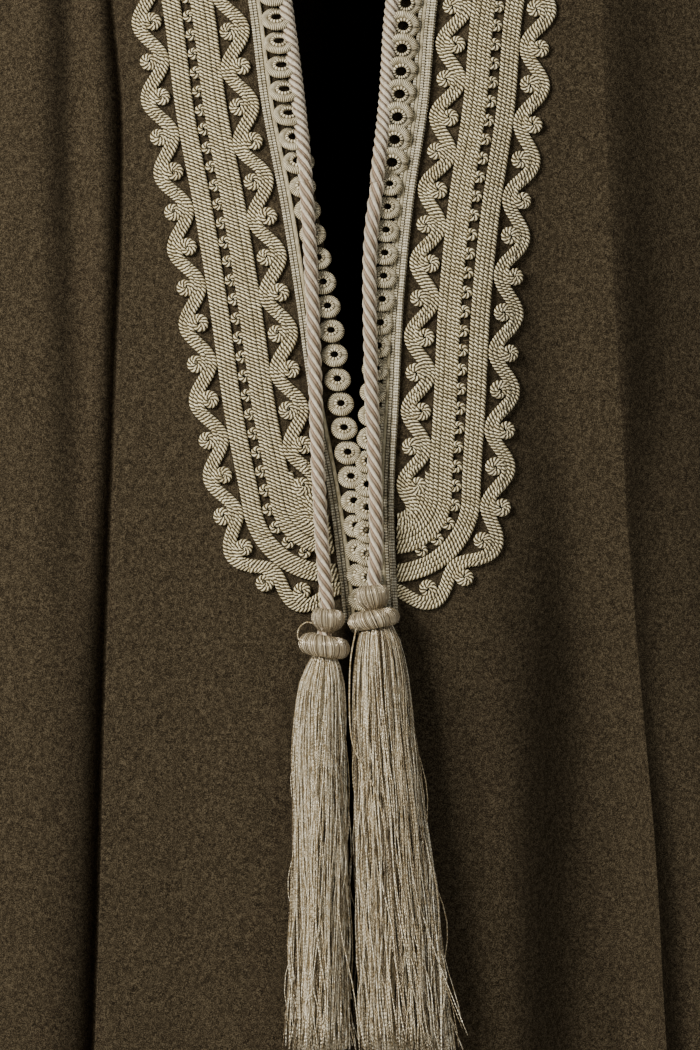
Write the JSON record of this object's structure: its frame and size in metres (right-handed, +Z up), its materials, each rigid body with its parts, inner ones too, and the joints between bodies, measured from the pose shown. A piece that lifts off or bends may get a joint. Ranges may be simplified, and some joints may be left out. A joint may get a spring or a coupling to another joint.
{
  "type": "abaya",
  "caption": "Worn wool abaya with wide sleeves, a deep embroidered neck slit and two rope ties that end in tassels, hollow and open at neck, cuffs and hem.",
  "frame": {"origin": "midway between the two points where the shoulder seams meet the neck, where the wearer's shoulders hold it", "axes": "+X to the right as seen from the front, -Y the front, +Z up along the wearer's height"},
  "size_m": [1.01, 0.357, 1.3859],
  "materials": {
    "cloth": "heathered wool flannel, matte with a soft nap",
    "cord": "couched twisted cord, soft sheen",
    "rope": "two-ply twisted rope, one ply pinkish",
    "silk": "fine twisted silk strands, soft sheen"
  },
  "bodies": {
    "root": {"front": "cloth", "back": "cloth", "sleeve_left": "cloth", "sleeve_right": "cloth", "outer_scroll_left": "cord", "outer_scroll_right": "cord", "outer_band_left": "cord", "outer_band_right": "cord", "inner_band_left": "cord", "inner_band_right": "cord", "inner_scroll_left": "cord", "inner_scroll_right": "cord", "edge_braid_left": "cord", "edge_braid_right": "cord", "ring_row_left": "cord", "ring_row_right": "cord", "rope_left": "rope", "rope_right": "rope", "tie_left": "rope", "tie_right": "rope", "tassel_left": "silk", "tassel_right": "silk"}
  },
  "joints": []
}
